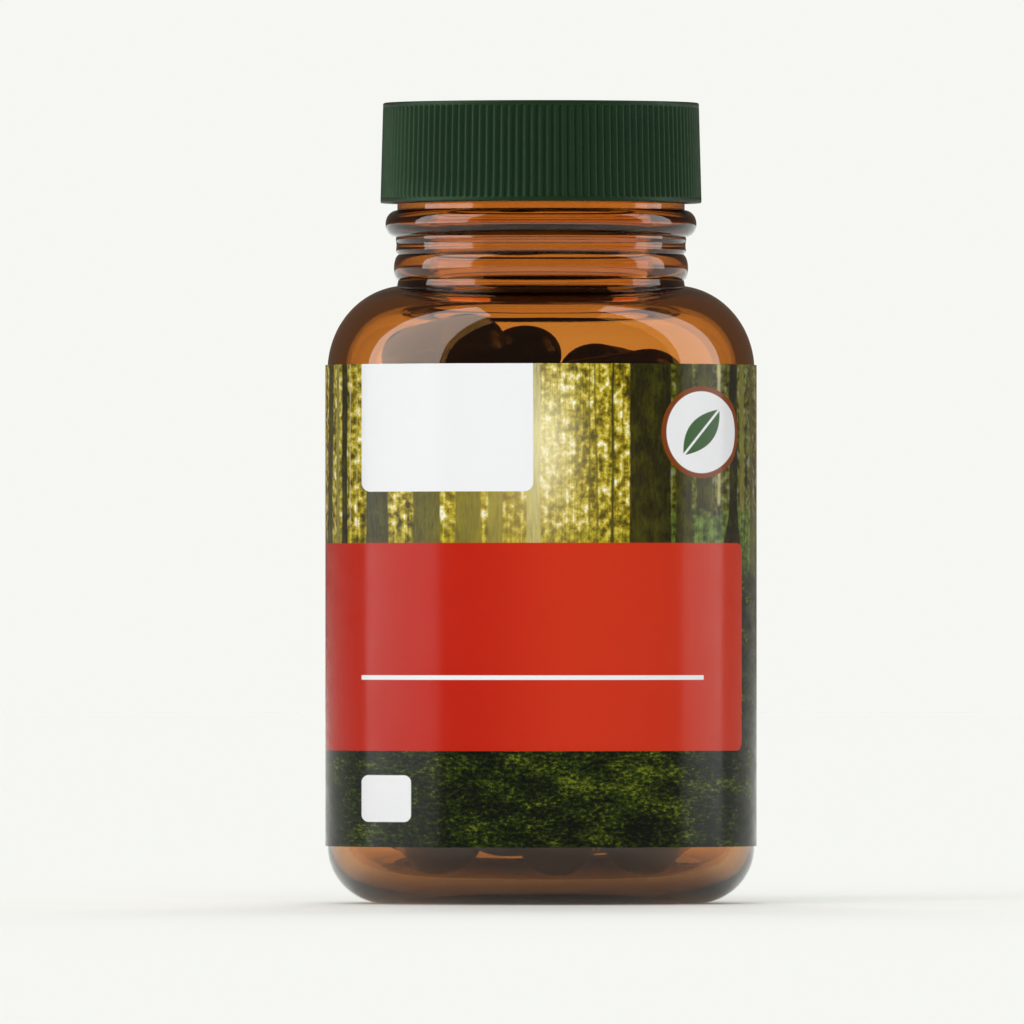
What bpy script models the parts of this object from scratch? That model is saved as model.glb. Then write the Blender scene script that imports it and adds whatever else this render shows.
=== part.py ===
"""Amber glass bottle of two-part capsules, with a wrap label and a lined screw cap.

Metres, +Z up. The origin is the centre of the base, and the front of the label faces -Y.
"""

import math

import bmesh
import bpy
import numpy as np

MM = 0.001
ROUND_STEPS = 44  # sides of the turned pieces
TOUCH_GAP = 0.3 * MM  # kept between pieces that rest on each other
WELD = 0.01 * MM
SHARP_ANGLE = math.radians(40)

# Bottle body
BODY_RADIUS = 23.85 * MM
WALL = 1.95 * MM
INNER_RADIUS = BODY_RADIUS - WALL
HEEL_RADIUS = 6.4 * MM
FLOOR_Z = 2.5 * MM
BEARING_RING = 1.8 * MM  # width of the flat ring that the bottle stands on
PUSH_UP = 0.9 * MM  # how far the underside is hollowed at its centre
PUSH_UP_SIDE_Z = 0.45 * MM  # height of the hollow's steep side

# Shoulder: a quarter ellipse from the body up to the neck
SHOULDER_Z = 59.5 * MM
SHOULDER_AXIS_R = 15.0 * MM
SHOULDER_RISE = 9.5 * MM
SHOULDER_RISE_INSIDE = SHOULDER_RISE - WALL
SHOULDER_RUN = BODY_RADIUS - SHOULDER_AXIS_R
SHOULDER_RUN_INSIDE = INNER_RADIUS - SHOULDER_AXIS_R
SHOULDER_TOP_ANGLE = 79.0  # degrees up the outer quarter ellipse, where the neck meets it

# Sides of each bend in the bottle's profile
INNER_CORNER_SIDES = 3
INNER_SHOULDER_SIDES = 4
THROAT_SIDES = 2
BEAD_SIDES = 4
SHOULDER_SIDES = 5
HEEL_SIDES = 4

# Neck, lower ring, transfer bead and screw finish
BORE_RADIUS = 12.6 * MM
NECK_RADIUS = 16.15 * MM
LOWER_RING_RADIUS = 16.4 * MM
LOWER_RING_Z = (69.5 * MM, 72.4 * MM)
BEAD_RADIUS = 17.37 * MM
BEAD_Z = (74.4 * MM, 77.4 * MM)
FINISH_RADIUS = 14.85 * MM
FINISH_FOOT_Z = 78.9 * MM
LIP_Z = 86.8 * MM
LIP_ROUND = 0.5 * MM

# Thread: single start, right hand, six turns to the inch
THREAD_PITCH = 25.4 / 6 * MM
THREAD_TURNS = 1.1
THREAD_RADIUS = 16.04 * MM
THREAD_FOOT_Z = 80.3 * MM
THREAD_FADE = math.radians(28)  # the ridge sinks into the wall over this angle at each end
THREAD_SINK = 0.3 * MM  # how far the ridge's root is buried in the wall
THREAD_END_LIFT = 0.3  # share of that depth by which the crest clears the root at the ridge's two ends
THREAD_STEPS = 32  # sections in one turn
RIDGE_ROOT, RIDGE_CREST = 2.1 * MM, 0.9 * MM  # axial widths of the bottle's ridge
CAP_RIDGE_ROOT, CAP_RIDGE_CREST = 1.3 * MM, 0.7 * MM
CAP_RIDGE_DROP = 2.05 * MM  # the cap's ridge runs this far under the bottle's
CAP_RIDGE_START = 0.35  # and starts this part of a turn further along

# Cap and liner
CAP_FOOT_Z, CAP_TOP_Z = 78.2 * MM, 89.4 * MM
CAP_FOOT_RADIUS, CAP_TOP_RADIUS = 17.93 * MM, 17.65 * MM
CAP_INNER_RADIUS = 16.43 * MM
CAP_THREAD_RADIUS = 15.2 * MM
CAP_ROOF = 1.3 * MM
CAP_EDGE = 0.6 * MM
CAP_EDGE_SIDES = 2
CAP_CHAMFER = 0.2 * MM
LINER_RADIUS = 15.9 * MM
LINER_Z = (LIP_Z + TOUCH_GAP, CAP_TOP_Z - CAP_ROOF - TOUCH_GAP)

# Label
LABEL_Z = (6.4 * MM, 60.1 * MM)
LABEL_GAP = 0.15 * MM
LABEL_THICKNESS = 0.1 * MM
LABEL_SEAM = 0.4 * MM  # the slit between its two ends, at the back

# Capsules
CAPSULE_COUNT = 40
CAPSULE_LENGTH = 23.3 * MM
CAPSULE_RADIUS = 4.22 * MM
CAPSULE_SIDES = 10
CAPSULE_END_SIDES = 2  # sides of each end's quarter arc
HALF_AXIS = CAPSULE_LENGTH / 2 - CAPSULE_RADIUS  # from a capsule's middle to the centre of a round end
CAPSULE_GAP = 0.12 * MM
SPACING = 2 * CAPSULE_RADIUS + CAPSULE_GAP
WALL_SPACING = CAPSULE_RADIUS + CAPSULE_GAP

# How the capsules are poured in: each is laid in the lowest of many places, then all are shaken down
FILL_SEED = 9
TRIES = 300
FINE_SHIFT, FINE_TURN = 2.0 * MM, 10.0  # the spread, in metres and degrees, of the second look for a place
USUAL_TILT = 17.0  # degrees
SETTLED = 0.02 * MM
MOST_DROPS = 60
SHAKES = 900
MOVES = 40  # small moves tried for each capsule in one shake
SHAKE_SHIFT = 1.5 * MM
SHAKE_TURN = 0.15  # spread of each part of a capsule's unit axis
SHAKE_HEAT = 2.0 * MM  # how far the first shakes may lift a capsule
LAST_SHAKE = 0.15  # size of the last moves, as a share of the first

# Capsules that show under and over the label: x and y of the front end's centre in mm, then its heading
# from +Y and how far the front end is raised, in degrees
FLOOR_ROW = (
    (-10.7, -12.9, -8.0, 0.0),
    (1.6, -16.6, 5.0, 0.0),
    (10.9, -12.9, 9.0, 0.0),
)
TOP_ROW = (
    (11.8, -8.9, -84.8, 9.0),
    (6.1, 0.2, 12.9, 0.8),
    (-1.8, 2.1, -6.0, 5.7),
    (-8.0, -7.1, -23.9, 3.9),
)

MATERIALS = {
    "amber_glass": {"colour": (0.48, 0.17, 0.03), "roughness": 0.03, "transmission": 1.0},
    "green_plastic": {"colour": (0.018, 0.05, 0.024), "roughness": 0.42},
    "liner_foam": {"colour": (0.82, 0.82, 0.79), "roughness": 0.7},
    "printed_film": {"colour": (0.52, 0.045, 0.02), "roughness": 0.38},
    "dark_capsule": {"colour": (0.03, 0.016, 0.012), "roughness": 0.22},
}


def clear_scene():
    for obj in list(bpy.data.objects):
        bpy.data.objects.remove(obj)


def new_collection(name):
    collection = bpy.data.collections.new(name)
    bpy.context.scene.collection.children.link(collection)
    return collection


def make_material(name, colour, roughness, transmission=0.0):
    material = bpy.data.materials.new(name)
    material.use_nodes = True
    shader = material.node_tree.nodes["Principled BSDF"]
    shader.inputs["Base Color"].default_value = (*colour, 1)
    shader.inputs["Roughness"].default_value = roughness
    shader.inputs["Metallic"].default_value = 0
    shader.inputs["Transmission Weight"].default_value = transmission
    return material


def add_object(name, mesh, collection, material=None):
    obj = bpy.data.objects.new(name, mesh)
    collection.objects.link(obj)
    if material is not None:
        mesh.materials.append(material)
    return obj


def made_mesh(obj):
    """Replaces an object's mesh by its evaluated one, shaded smooth between its sharp edges."""
    graph = bpy.context.evaluated_depsgraph_get()
    mesh = bpy.data.meshes.new_from_object(obj.evaluated_get(graph))
    obj.modifiers.clear()
    obj.data = mesh
    mesh.shade_smooth()
    mesh.set_sharp_from_angle(angle=SHARP_ANGLE)
    return obj


def arc(centre, radii, start, end, steps):
    """Points (radius, height) on an ellipse from start to end degrees, both ends included."""
    angles = np.radians(np.linspace(start, end, steps + 1))
    return [(centre[0] + radii[0] * math.cos(a), centre[1] + radii[1] * math.sin(a)) for a in angles]


def turned(name, profile, collection, material, steps=ROUND_STEPS, sweep=math.tau):
    """A profile of (radius, height) points at +X, turned round Z."""
    mesh = bpy.data.meshes.new(name)
    mesh.from_pydata([(r, 0, z) for r, z in profile], [(i, i + 1) for i in range(len(profile) - 1)], [])
    obj = add_object(name, mesh, collection, material)
    screw = obj.modifiers.new("turn", "SCREW")
    screw.axis = "Z"
    screw.angle = sweep
    screw.steps = screw.render_steps = steps
    screw.use_merge_vertices = True
    screw.merge_threshold = WELD
    return obj


def thread_ridge(name, root_radius, crest_radius, widths, foot_z, collection, start=0.0):
    """A right-hand helical ridge, lofted through trapezium sections that shrink at both ends."""
    root_width, crest_width = widths
    sweep = THREAD_TURNS * math.tau
    count = round(THREAD_TURNS * THREAD_STEPS)
    buried = root_radius + THREAD_END_LIFT * THREAD_SINK * math.copysign(1, crest_radius - root_radius)
    work = bmesh.new()
    rings = []
    for i in range(count + 1):
        along = sweep * i / count
        full = min(1.0, along / THREAD_FADE, (sweep - along) / THREAD_FADE)
        crest = buried + (crest_radius - buried) * full
        angle = along + start * math.tau
        z = foot_z + THREAD_PITCH * angle / math.tau
        corners = (
            (root_radius, z - root_width / 2),
            (crest, z - crest_width / 2),
            (crest, z + crest_width / 2),
            (root_radius, z + root_width / 2),
        )
        rings.append([work.verts.new((r * math.cos(angle), r * math.sin(angle), h)) for r, h in corners])
    for near, far in zip(rings, rings[1:]):
        for k in range(4):
            work.faces.new((near[k], near[k - 1], far[k - 1], far[k]))
    work.faces.new(rings[0])
    work.faces.new(reversed(rings[-1]))
    bmesh.ops.recalc_face_normals(work, faces=work.faces)
    mesh = bpy.data.meshes.new(name)
    work.to_mesh(mesh)
    work.free()
    ridge = add_object(name, mesh, collection)
    ridge.hide_render = True
    ridge.display_type = "WIRE"
    return ridge


def join_ridge(obj, ridge):
    union = obj.modifiers.new("thread", "BOOLEAN")
    union.operation = "UNION"
    union.solver = "EXACT"
    union.object = ridge


def bottle_profile():
    """From the centre of the inner floor, up the inside, over the lip and down the outside."""
    corner = HEEL_RADIUS - WALL
    throat = SHOULDER_AXIS_R - BORE_RADIUS  # radius of the rounded edge where the neck opens out
    shoulder_top_inside = SHOULDER_Z + SHOULDER_RISE_INSIDE
    inside = [(0, FLOOR_Z)]
    inside += arc((INNER_RADIUS - corner, FLOOR_Z + corner), (corner, corner), -90, 0, INNER_CORNER_SIDES)
    inside += arc(
        (SHOULDER_AXIS_R, SHOULDER_Z),
        (SHOULDER_RUN_INSIDE, SHOULDER_RISE_INSIDE),
        0,
        90,
        INNER_SHOULDER_SIDES,
    )
    inside += arc(
        (SHOULDER_AXIS_R, shoulder_top_inside + throat), (throat, throat), 270, 180, THROAT_SIDES
    )[1:]
    lip = [
        (BORE_RADIUS, LIP_Z - LIP_ROUND),
        (BORE_RADIUS + LIP_ROUND, LIP_Z),
        (FINISH_RADIUS - LIP_ROUND, LIP_Z),
        (FINISH_RADIUS, LIP_Z - LIP_ROUND),
    ]
    bead_middle = sum(BEAD_Z) / 2
    bead_half = (BEAD_Z[1] - BEAD_Z[0]) / 2
    neck = [(FINISH_RADIUS, FINISH_FOOT_Z), (NECK_RADIUS, CAP_FOOT_Z)]
    neck += arc((NECK_RADIUS, bead_middle), (BEAD_RADIUS - NECK_RADIUS, bead_half), 90, -90, BEAD_SIDES)
    ring_slope = LOWER_RING_RADIUS - NECK_RADIUS
    neck += [
        (NECK_RADIUS, LOWER_RING_Z[1] + ring_slope),
        (LOWER_RING_RADIUS, LOWER_RING_Z[1] - ring_slope),
        (LOWER_RING_RADIUS, LOWER_RING_Z[0] + ring_slope),
        (NECK_RADIUS, LOWER_RING_Z[0]),
    ]
    shoulder = arc(
        (SHOULDER_AXIS_R, SHOULDER_Z), (SHOULDER_RUN, SHOULDER_RISE), SHOULDER_TOP_ANGLE, 0, SHOULDER_SIDES
    )
    heel = arc((BODY_RADIUS - HEEL_RADIUS, HEEL_RADIUS), (HEEL_RADIUS, HEEL_RADIUS), 0, -90, HEEL_SIDES)
    ring_inside = BODY_RADIUS - HEEL_RADIUS - BEARING_RING
    base = [(ring_inside, 0), (ring_inside - PUSH_UP, PUSH_UP_SIDE_Z), (0, PUSH_UP)]
    return inside + lip + neck + shoulder + heel + base


def make_bottle(collection, cutters, material):
    bottle = turned("glass_bottle", bottle_profile(), collection, material)
    made_mesh(bottle)
    ridge = thread_ridge(
        "bottle_thread",
        FINISH_RADIUS - THREAD_SINK,
        THREAD_RADIUS,
        (RIDGE_ROOT, RIDGE_CREST),
        THREAD_FOOT_Z,
        cutters,
    )
    join_ridge(bottle, ridge)


def make_cap(collection, cutters, material, axis_empty):
    """The cap's skirt stands at the crests of its ribs. Its origin is on the thread's axis."""
    roof_z = CAP_TOP_Z - CAP_ROOF
    profile = [(0, CAP_TOP_Z)]
    profile += arc(
        (CAP_TOP_RADIUS - CAP_EDGE, CAP_TOP_Z - CAP_EDGE), (CAP_EDGE, CAP_EDGE), 90, 0, CAP_EDGE_SIDES
    )
    profile += [
        (CAP_FOOT_RADIUS, CAP_FOOT_Z + CAP_CHAMFER),
        (CAP_FOOT_RADIUS - CAP_CHAMFER, CAP_FOOT_Z),
        (CAP_INNER_RADIUS + CAP_CHAMFER, CAP_FOOT_Z),
        (CAP_INNER_RADIUS, CAP_FOOT_Z + CAP_CHAMFER),
        (CAP_INNER_RADIUS, roof_z),
        (0, roof_z),
    ]
    cap = turned("screw_cap", profile, collection, material)
    made_mesh(cap)
    ridge = thread_ridge(
        "cap_thread",
        CAP_INNER_RADIUS + THREAD_SINK,
        CAP_THREAD_RADIUS,
        (CAP_RIDGE_ROOT, CAP_RIDGE_CREST),
        THREAD_FOOT_Z - CAP_RIDGE_DROP,
        cutters,
        start=CAP_RIDGE_START,
    )
    join_ridge(cap, ridge)
    cap.parent = axis_empty


def make_liner(collection, material, axis_empty):
    depth = LINER_Z[1] - LINER_Z[0]
    bpy.ops.mesh.primitive_cylinder_add(
        vertices=ROUND_STEPS, radius=LINER_RADIUS, depth=depth, location=(0, 0, sum(LINER_Z) / 2)
    )
    liner = bpy.context.object
    liner.name = liner.data.name = "cap_liner"
    liner.data.materials.append(material)
    liner.data.shade_smooth()
    liner.data.set_sharp_from_angle(angle=SHARP_ANGLE)
    for other in list(liner.users_collection):
        other.objects.unlink(liner)
    collection.objects.link(liner)
    liner.parent = axis_empty


def make_label(collection, material):
    """A sheet bent round the body, with its two ends facing each other at the back."""
    radius = BODY_RADIUS + LABEL_GAP
    slit = LABEL_SEAM / radius
    line = [(radius, LABEL_Z[1]), (radius, LABEL_Z[0])]
    label = turned("label", line, collection, material, sweep=math.tau - slit)
    label.rotation_euler.z = math.pi / 2 + slit / 2
    wall = label.modifiers.new("film", "SOLIDIFY")
    wall.thickness = LABEL_THICKNESS
    wall.offset = 1
    made_mesh(label)


def capsule_mesh(collection, material):
    """A cylinder with round ends, along Z and centred on its own origin."""
    top = arc((0, HALF_AXIS), (CAPSULE_RADIUS, CAPSULE_RADIUS), 90, 0, CAPSULE_END_SIDES)
    foot = arc((0, -HALF_AXIS), (CAPSULE_RADIUS, CAPSULE_RADIUS), 0, -90, CAPSULE_END_SIDES)
    pattern = turned("capsule_pattern", top + foot, collection, material, steps=CAPSULE_SIDES)
    mesh = made_mesh(pattern).data
    mesh.name = "capsule"
    bpy.data.objects.remove(pattern)
    return mesh


def heading_axes(heading, tilt):
    """Unit vectors from the front end of a capsule to its back end, from angles in degrees."""
    heading, tilt = np.radians(heading), np.radians(tilt)
    level = np.cos(tilt)
    return np.stack([np.sin(heading) * level, np.cos(heading) * level, -np.sin(tilt)], axis=-1)


def axis_gaps(centres, axes, others, other_axes):
    """Distances between the middle lines of each new capsule and each one already placed."""
    apart = centres[:, None] - others[None]
    cosine = axes @ other_axes.T
    along = np.einsum("ijk,ik->ij", apart, axes)
    along_other = np.einsum("ijk,jk->ij", apart, other_axes)
    spread = np.maximum(1 - cosine**2, 1e-9)
    s = np.clip((cosine * along_other - along) / spread, -HALF_AXIS, HALF_AXIS)
    t = np.clip(cosine * s + along_other, -HALF_AXIS, HALF_AXIS)
    s = np.clip(cosine * t - along, -HALF_AXIS, HALF_AXIS)
    nearest = apart + s[..., None] * axes[:, None] - t[..., None] * other_axes[None]
    return np.linalg.norm(nearest, axis=-1)


def dropped(centres, axes, placed):
    """Lowers each new capsule, alone, until it is SPACING from the others or meets the floor."""
    centres = centres.copy()
    reach = HALF_AXIS * np.abs(axes[:, 2])
    others = np.array([p[0] for p in placed]).reshape(-1, 3)
    other_axes = np.array([p[1] for p in placed]).reshape(-1, 3)
    centres[:, 2] = max(others[:, 2], default=0) + HALF_AXIS * 2 + SPACING
    for _ in range(MOST_DROPS):
        room = centres[:, 2] - reach - FLOOR_Z - WALL_SPACING
        if len(others):
            room = np.minimum(room, axis_gaps(centres, axes, others, other_axes).min(axis=1) - SPACING)
        centres[:, 2] -= room
        if room.max() < SETTLED:
            break
    return centres


def within_wall(centres, axes):
    """Whether both round ends stay WALL_SPACING inside the straight wall."""
    ends = np.stack([centres + HALF_AXIS * axes, centres - HALF_AXIS * axes])
    return (np.hypot(ends[..., 0], ends[..., 1]) <= INNER_RADIUS - WALL_SPACING).all(axis=0)


def lowest(centres, headings, tilts, placed):
    """(centre, heading, tilt) of the lowest of these places once dropped."""
    axes = heading_axes(headings, tilts)
    fits = within_wall(centres, axes)
    centres = dropped(centres[fits], axes[fits], placed)
    best = centres[:, 2].argmin()
    return centres[best], headings[fits][best], tilts[fits][best]


def lay_one(rng, placed):
    """Lays one capsule in the lowest place found, then in the lowest one near that."""
    span = INNER_RADIUS - WALL_SPACING
    centres = np.zeros((TRIES, 3))
    centres[:, :2] = rng.uniform(-span, span, (TRIES, 2))
    headings, tilts = rng.uniform(0, 180, TRIES), rng.normal(0, USUAL_TILT, TRIES)
    centre, heading, tilt = lowest(centres, headings, tilts, placed)
    centres = np.tile(centre, (TRIES, 1))
    centres[1:, :2] += rng.normal(0, FINE_SHIFT, (TRIES - 1, 2))
    headings = heading + rng.normal(0, FINE_TURN, TRIES)
    tilts = tilt + rng.normal(0, FINE_TURN, TRIES)
    headings[0], tilts[0] = heading, tilt
    centre, heading, tilt = lowest(centres, headings, tilts, placed)
    placed.append((centre, heading_axes(heading, tilt)))


def shake_down(rng, placed, fixed):
    """Moves each capsule after the first few, over and over, to the lowest of several near places."""
    centres, axes = (np.array(values) for values in zip(*placed))
    for shake in range(SHAKES):
        heat = 1 - shake / SHAKES
        size = LAST_SHAKE + (1 - LAST_SHAKE) * heat
        for i in centres[:, 2].argsort():
            if i < fixed:
                continue
            near = centres[i] + rng.normal(0, SHAKE_SHIFT * size, (MOVES, 3))
            turned_axes = axes[i] + rng.normal(0, SHAKE_TURN * size, (MOVES, 3))
            turned_axes /= np.linalg.norm(turned_axes, axis=1, keepdims=True)
            feet = near[:, 2] - HALF_AXIS * np.abs(turned_axes[:, 2])
            fits = within_wall(near, turned_axes) & (feet >= FLOOR_Z + WALL_SPACING)
            near, turned_axes = near[fits], turned_axes[fits]
            others = np.arange(len(centres)) != i
            gaps = axis_gaps(near, turned_axes, centres[others], axes[others]).min(axis=1)
            near = np.vstack([centres[i], near[gaps >= SPACING]])
            turned_axes = np.vstack([axes[i], turned_axes[gaps >= SPACING]])
            best = (near[:, 2] + rng.normal(0, SHAKE_HEAT * heat, len(near))).argmin()
            centres[i], axes[i] = near[best], turned_axes[best]
    placed[:] = zip(centres, axes)


def lay_row(row, placed):
    """Drops capsules at chosen places."""
    for x, y, heading, tilt in row:
        axis = heading_axes(heading, tilt)
        centre = np.array([x * MM, y * MM, 0]) + HALF_AXIS * axis
        placed.append((dropped(centre[None], axis[None], placed)[0], axis))


def fill():
    """(centre, axis) of every capsule, from the floor up."""
    rng = np.random.default_rng(FILL_SEED)
    placed = []
    lay_row(FLOOR_ROW, placed)
    while len(placed) < CAPSULE_COUNT - len(TOP_ROW):
        lay_one(rng, placed)
    shake_down(rng, placed, len(FLOOR_ROW))
    lay_row(TOP_ROW, placed)
    return placed


def make_capsules(collection, material):
    mesh = capsule_mesh(collection, material)
    for number, (centre, axis) in enumerate(fill(), 1):
        capsule = bpy.data.objects.new(f"capsule_{number:02d}", mesh)
        collection.objects.link(capsule)
        tilt = math.acos(axis[2])
        heading = math.atan2(axis[1], axis[0])
        capsule.rotation_euler = (0, tilt, heading)
        capsule.location = centre


def main():
    clear_scene()
    parts = new_collection("capsule_bottle")
    cutters = new_collection("thread_ridges")
    materials = {name: make_material(name, **look) for name, look in MATERIALS.items()}
    thread_axis = bpy.data.objects.new("thread_axis", None)
    parts.objects.link(thread_axis)
    make_bottle(parts, cutters, materials["amber_glass"])
    make_cap(parts, cutters, materials["green_plastic"], thread_axis)
    make_liner(parts, materials["liner_foam"], thread_axis)
    make_label(parts, materials["printed_film"])
    make_capsules(parts, materials["dark_capsule"])


main()
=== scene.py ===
import math

import bmesh
import bpy
import numpy as np
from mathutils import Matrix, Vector


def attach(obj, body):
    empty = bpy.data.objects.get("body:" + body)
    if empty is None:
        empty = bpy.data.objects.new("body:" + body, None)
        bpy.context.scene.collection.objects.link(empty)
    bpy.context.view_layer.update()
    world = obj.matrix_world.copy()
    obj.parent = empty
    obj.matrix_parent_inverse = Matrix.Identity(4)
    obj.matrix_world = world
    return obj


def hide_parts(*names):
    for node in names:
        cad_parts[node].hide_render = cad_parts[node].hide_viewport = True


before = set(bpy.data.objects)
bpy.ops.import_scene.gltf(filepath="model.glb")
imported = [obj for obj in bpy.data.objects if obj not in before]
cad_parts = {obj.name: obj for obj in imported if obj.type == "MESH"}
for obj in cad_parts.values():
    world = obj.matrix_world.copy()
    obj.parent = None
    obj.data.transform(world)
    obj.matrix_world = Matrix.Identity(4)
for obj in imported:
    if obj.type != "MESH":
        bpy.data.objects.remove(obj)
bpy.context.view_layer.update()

mm = 0.001
sameWall = 0.01 * mm  # radii closer than this are one wall
print("frame loaded:", len(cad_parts), "nodes")


# helpers for meshes

def addObject(name, mesh, material=None):
    obj = bpy.data.objects.new(name, mesh)
    bpy.context.scene.collection.objects.link(obj)
    if material is not None:
        mesh.materials.append(material)
    return obj


def ellipseArc(centre, radii, start, end, steps):
    angles = np.radians(np.linspace(start, end, steps + 1))
    return [(centre[0] + radii[0] * math.cos(a), centre[1] + radii[1] * math.sin(a)) for a in angles]


# corners are (radius, height, bend); each bend becomes an arc of that radius
def roundedLine(corners, fineness=math.radians(14)):
    line = []
    for i, (r, z, bend) in enumerate(corners):
        here = Vector((r, z))
        if bend == 0 or i in (0, len(corners) - 1):
            line.append((r, z))
            continue
        back = Vector(corners[i - 1][:2]) - here
        ahead = Vector(corners[i + 1][:2]) - here
        half = back.angle(ahead) / 2
        cut = min(bend / math.tan(half), 0.49 * back.length, 0.49 * ahead.length)
        reach = cut * math.tan(half)
        middle = here + (back.normalized() + ahead.normalized()).normalized() * reach / math.sin(half)
        first = here + back.normalized() * cut - middle
        last = here + ahead.normalized() * cut - middle
        turn = math.atan2(first.x * last.y - first.y * last.x, first.dot(last))
        steps = max(2, math.ceil(abs(turn) / fineness))
        for k in range(steps + 1):
            a = math.atan2(first.y, first.x) + turn * k / steps
            line.append((middle.x + reach * math.cos(a), middle.y + reach * math.sin(a)))
    return line


# puts extra rows on the straight stretches that stand between two heights
def finerBetween(line, low, high, pitch):
    out = [line[0]]
    for (r0, z0), (r1, z1) in zip(line, line[1:]):
        inside = low <= min(z0, z1) and max(z0, z1) <= high
        steps = max(1, math.ceil(abs(z1 - z0) / pitch)) if inside else 1
        out += [(r0 + (r1 - r0) * k / steps, z0 + (z1 - z0) * k / steps) for k in range(1, steps + 1)]
    return out


# gives a mesh the faces that were worked on, each turned outwards
def facedOut(work, mesh):
    bmesh.ops.recalc_face_normals(work, faces=work.faces)
    work.to_mesh(mesh)
    work.free()
    return mesh


# turns a line that starts and ends on the axis into one closed skin; liftOf(radius, height, angle)
# says how far a point moves outwards
def turnedMesh(name, line, columns, liftOf=None):
    angles = np.arange(columns) * math.tau / columns
    rings = []
    for r, z in line[1:-1]:
        radius = np.full(columns, float(r))
        if liftOf is not None:
            radius = radius + liftOf(r, z, angles)
        ring = [radius * np.cos(angles), radius * np.sin(angles), np.full(columns, z)]
        rings.append(np.stack(ring, axis=1))
    points = np.concatenate([[[0, 0, line[0][1]]], *rings, [[0, 0, line[-1][1]]]])
    column = np.arange(columns)
    after = (column + 1) % columns
    faces = [(0, 1 + int(b), 1 + int(a)) for a, b in zip(column, after)]
    for ring in range(len(rings) - 1):
        near, far = 1 + ring * columns, 1 + (ring + 1) * columns
        faces += [(near + int(a), near + int(b), far + int(b), far + int(a)) for a, b in zip(column, after)]
    foot, pole = 1 + (len(rings) - 1) * columns, len(points) - 1
    faces += [(foot + int(a), foot + int(b), pole) for a, b in zip(column, after)]
    mesh = bpy.data.meshes.new(name)
    mesh.from_pydata(points.tolist(), [], faces)
    work = bmesh.new()
    work.from_mesh(mesh)
    return facedOut(work, mesh)


def smoothStep(value):
    t = np.clip(value, 0, 1)
    return t * t * (3 - 2 * t)


def shadeRound(mesh, sharpAngle=math.radians(50)):
    mesh.shade_smooth()
    mesh.set_sharp_from_angle(angle=sharpAngle)


# helpers for node trees

def addNode(tree, kind, inputs=None, **settings):
    made = tree.nodes.new(kind)
    for name, value in settings.items():
        setattr(made, name, value)
    for key, value in (inputs or {}).items():
        socket = made.inputs[key]
        if isinstance(value, bpy.types.NodeSocket):
            tree.links.new(value, socket)
        else:
            socket.default_value = value
    return made


def calc(tree, operation, *values, clamp=False):
    made = addNode(tree, "ShaderNodeMath", dict(enumerate(values)), operation=operation, use_clamp=clamp)
    return made.outputs[0]


def blendColors(tree, factor, first, second, mode="MIX"):
    first, second = [(*c, 1) if isinstance(c, tuple) and len(c) == 3 else c for c in (first, second)]
    made = addNode(
        tree, "ShaderNodeMix", {0: factor, 6: first, 7: second}, data_type="RGBA", blend_type=mode
    )
    return made.outputs[2]


def noiseValue(tree, vector, scale, detail=2.0, roughness=0.5, distortion=0.0):
    inputs = {"Vector": vector, "Scale": scale, "Detail": detail, "Roughness": roughness}
    made = addNode(tree, "ShaderNodeTexNoise", {**inputs, "Distortion": distortion})
    return made.outputs[0]


def colorRamp(tree, value, stops):
    made = addNode(tree, "ShaderNodeValToRGB", {0: value})
    ramp = made.color_ramp
    while len(ramp.elements) < len(stops):
        ramp.elements.new(0.5)
    for element, (place, color) in zip(ramp.elements, stops):
        element.position = place
        element.color = (*color, 1)
    return made.outputs[0]


# carries a value from one range to another, and holds it at the ends
def mapRange(tree, value, given, wanted, smooth=False):
    inputs = {"Value": value, 1: given[0], 2: given[1], 3: wanted[0], 4: wanted[1]}
    kind = "SMOOTHSTEP" if smooth else "LINEAR"
    return addNode(tree, "ShaderNodeMapRange", inputs, interpolation_type=kind, clamp=True).outputs[0]


def startMaterial(name):
    material = bpy.data.materials.new(name)
    material.use_nodes = True
    tree = material.node_tree
    return material, tree, tree.nodes["Principled BSDF"], tree.nodes["Material Output"]


def objectPlace(tree, scale=(1, 1, 1)):
    place = addNode(tree, "ShaderNodeTexCoord").outputs["Object"]
    return addNode(tree, "ShaderNodeMapping", {"Vector": place, "Scale": scale}).outputs[0]


def setBump(tree, shader, height, strength, distance):
    inputs = {"Height": height, "Strength": strength, "Distance": distance}
    tree.links.new(addNode(tree, "ShaderNodeBump", inputs).outputs[0], shader.inputs["Normal"])


# colours below are given as they look on a screen, 0 to 255
def screenColor(red, green, blue):
    values = [c / 255 for c in (red, green, blue)]
    return tuple(c / 12.92 if c <= 0.04045 else ((c + 0.055) / 1.055) ** 2.4 for c in values)


# the amber glass bottle

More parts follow.
